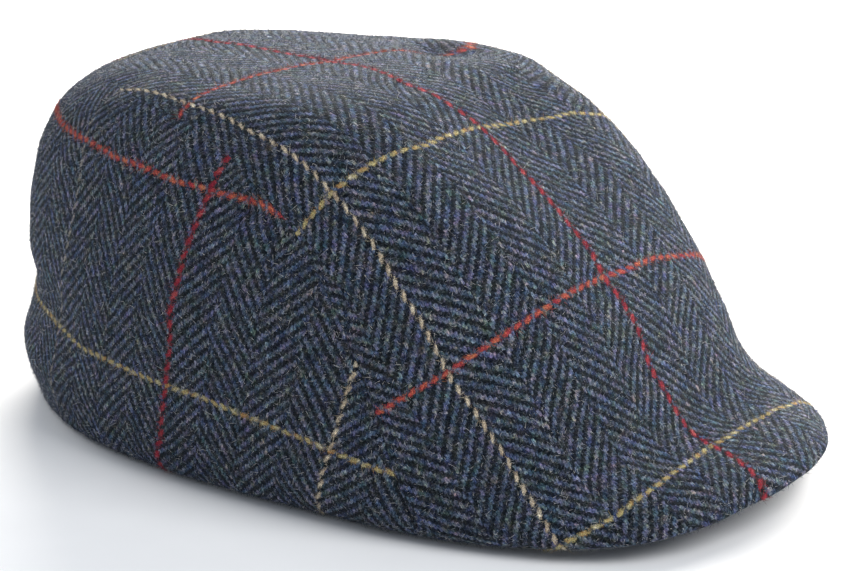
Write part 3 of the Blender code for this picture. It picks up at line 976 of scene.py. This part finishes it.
def roots(outer, normal, cloth, count, rng):
    """Random places, even over a panel: point, outward way, place in panes."""
    columns = outer.shape[1]
    corner = outer[:-1, :-1]
    area = np.linalg.norm(np.cross(outer[:-1, 1:] - corner, outer[1:, :-1] - corner), axis=-1)
    cell = rng.choice(area.size, count, p=(area / area.sum()).ravel())
    row, column = np.divmod(cell, columns - 1)
    v, u = rng.random((2, count, 1))

    def at(grid):
        return ((1 - v) * ((1 - u) * grid[row, column] + u * grid[row, column + 1])
                + v * ((1 - u) * grid[row + 1, column] + u * grid[row + 1, column + 1]))

    return at(outer), at(normal), at(cloth) / PANE


def fuzz(name, outer, cloth, count, seed, material, worn):
    """Short wool fibres that lean out of the cloth, each a closed needle. On the
    check lines they are closer and have the line's colour, unless it is worn off."""
    rng = np.random.default_rng(seed)
    normal = unit(np.cross(np.gradient(outer, axis=1), np.gradient(outer, axis=0)))
    if np.sum(normal * (outer - outer.reshape(-1, 3).mean(0))) < 0:
        normal = -normal
    some = roots(outer, normal, cloth, count, rng)
    more = roots(outer, normal, cloth, int(count * LINE_TRIES), rng)
    on_line = line_kind(more[2]) != PLAIN
    root, out, laid = (np.r_[a, b[on_line]] for a, b in zip(some, more))
    count = len(root)
    side = unit(np.cross(out, rng.normal(size=(count, 3))))
    way = unit(out * rng.uniform(*FIBRE_RISE, (count, 1)) + side)
    length = FIBRE_LENGTH * np.exp(rng.normal(0, FIBRE_SPREAD, (count, 1)))
    one = unit(np.cross(way, out))
    two = np.cross(way, one)
    third = 2 * math.pi / 3
    foot = root - out * FIBRE_ROOT
    feet = [foot + (one * math.cos(k * third) + two * math.sin(k * third)) * FIBRE_WIDTH / 2
            for k in range(3)]
    tip = root + way * length
    tip[:, 2] = np.maximum(tip[:, 2], FIBRE_CLEAR)
    points = np.stack(feet + [tip], 1).reshape(-1, 3)
    points[:, 2] = np.maximum(points[:, 2], 0)
    first = np.arange(count)[:, None] * 4
    needle = ([0, 2, 1], [0, 1, 3], [1, 2, 3], [2, 0, 3])
    faces = np.concatenate([first + corners for corners in needle], 1).reshape(-1, 3)
    mesh = bpy.data.meshes.new(name)
    mesh.from_pydata(points, [], faces.tolist())
    mesh.materials.append(material)
    kind = line_kind(laid)
    if worn:
        kind[(kind == CREAM_KIND) & (root[:, 1] > WORN_FROM)] = PLAIN
    lot = np.c_[rng.random(count), (kind + 0.5) / KINDS]
    add_map(mesh, "lot", lot.repeat(faces.size // count, 0))
    # for baking, each fibre has a square of its own
    squares = math.ceil(math.sqrt(count))
    square = np.stack(np.divmod(np.arange(count), squares), -1)[:, None]
    spot = np.array([[0.05, 0.05], [0.95, 0.05], [0.05, 0.95], [0.95, 0.95]])
    add_map(mesh, "OFBake", ((square + spot) / squares).reshape(-1, 2)[faces.ravel()])
    return add_object(name, mesh)


def direction(turn, rise):
    """The way out from the cap at this turn and rise, in degrees."""
    turn, rise = math.radians(turn), math.radians(rise)
    return np.array([math.sin(turn) * math.cos(rise), -math.cos(turn) * math.cos(rise), math.sin(rise)])


def softbox(name, turn, rise, watts, colour):
    """A square softbox that shines at the cap."""
    light = bpy.data.lights.new(name, "AREA")
    light.color = colour
    light.shape = "SQUARE"
    light.size = SOFTBOX_WIDTH
    light.energy = watts
    place = Vector(direction(CAMERA_TURN + turn, rise) * SOFTBOX_DISTANCE + SOFTBOX_AIM)
    lamp = add_object(name, light)
    lamp.location = place
    lamp.rotation_euler = (Vector(SOFTBOX_AIM) - place).to_track_quat("-Z", "Y").to_euler()


def photo_camera():
    """The camera at the photograph's place, with its framing."""
    width, height = FRAME_PIXELS
    lens = bpy.data.cameras.new("camera")
    lens.sensor_width = SENSOR_MM
    lens.lens = SENSOR_MM * CAMERA_DISTANCE * MM * PIXELS_PER_MM / width
    lens.shift_x = (width / 2 - TARGET_PIXEL[0]) / width
    lens.shift_y = (TARGET_PIXEL[1] - height / 2) / width
    away = Vector(direction(CAMERA_TURN, CAMERA_RISE))
    camera = add_object("camera", lens)
    camera.location = Vector(CAMERA_TARGET) + Vector(SHIFT) + away * CAMERA_DISTANCE
    camera.rotation_euler = (-away).to_track_quat("-Z", "Y").to_euler()
    return camera


def plain_floor():
    corners = [(x * FLOOR_REACH, y * FLOOR_REACH, 0) for x, y in ((-1, -1), (1, -1), (1, 1), (-1, 1))]
    mesh = bpy.data.meshes.new("floor")
    mesh.from_pydata(corners, [], [(0, 1, 2, 3)])
    mesh.materials.append(floor_paper("floor_paper"))
    return add_object("floor", mesh)


seam = seam_stations()
rim, top_disc = top_layout(seam)
side_disc = side_layout(seam)

# The middle of the CAD's outline is over the origin, and the form's isn't.
reach = np.concatenate([from_disc(disc).reshape(-1, 3) for disc in (top_disc, side_disc)])[:, 1]
SHIFT = np.array([0, -(reach.min() + reach.max()) / 2, 0])

# The sides' lines are pinned on the right, and the left side's cloth mirrors it.
# Both sides count their picks downwards.
right_disc = side_disc[:, ::-1] * MIRROR
top_cloth = lay_flat(top_disc, TOP_LINES, top_plan(top_disc))
right_cloth = lay_flat(right_disc, SIDE_LINES, side_view(right_disc))

wool = {"tweed_top": tweed("tweed_top_wool"), "tweed_side": tweed("tweed_side_wool", WORN),
        "tweed_peak": tweed("tweed_peak_wool")}
lining_twill = lining("lining_twill")
panels = (
    ("top_panel", "tweed_top", top_disc, top_cloth, TOP_MESH, TOP_FIBRES, False),
    ("side_panel_right", "tweed_side", right_disc, -right_cloth, SIDE_MESH, SIDE_FIBRES, True),
    ("side_panel_left", "tweed_side", right_disc * MIRROR, right_cloth * (1, -1), SIDE_MESH, SIDE_FIBRES,
     True),
)
fuzzy = []
for node, slot, disc, cloth, steps, count, worn in panels:
    piece, outer, laid = panel(node + "_cloth", disc, cloth, steps, (wool[slot], lining_twill))
    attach(piece, "root")
    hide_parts(node)
    fuzzy.append((node + "_fibres", slot, outer, laid, count, worn))

piece = peak_board("peak_cloth", rim, wool["tweed_peak"])
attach(piece, "root")
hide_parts("peak")

loose_wool = fibre_material("loose_wool")
for seed, (name, slot, outer, laid, count, worn) in enumerate(fuzzy, 1):
    piece = fuzz(name, outer, laid, count, seed, loose_wool, worn)
    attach(piece, "root")

# Floor, light and camera
plain_floor()
scene = bpy.context.scene
scene.view_settings.view_transform = "Standard"
scene.world = bpy.data.worlds.new("studio")
scene.world.use_nodes = True
room = scene.world.node_tree.nodes["Background"].inputs
room["Color"].default_value = ROOM_COLOUR
room["Strength"].default_value = ROOM_STRENGTH
for name, (turn, rise, watts, colour) in SOFTBOXES.items():
    softbox(name, turn, rise, watts, colour)
scene.camera = photo_camera()
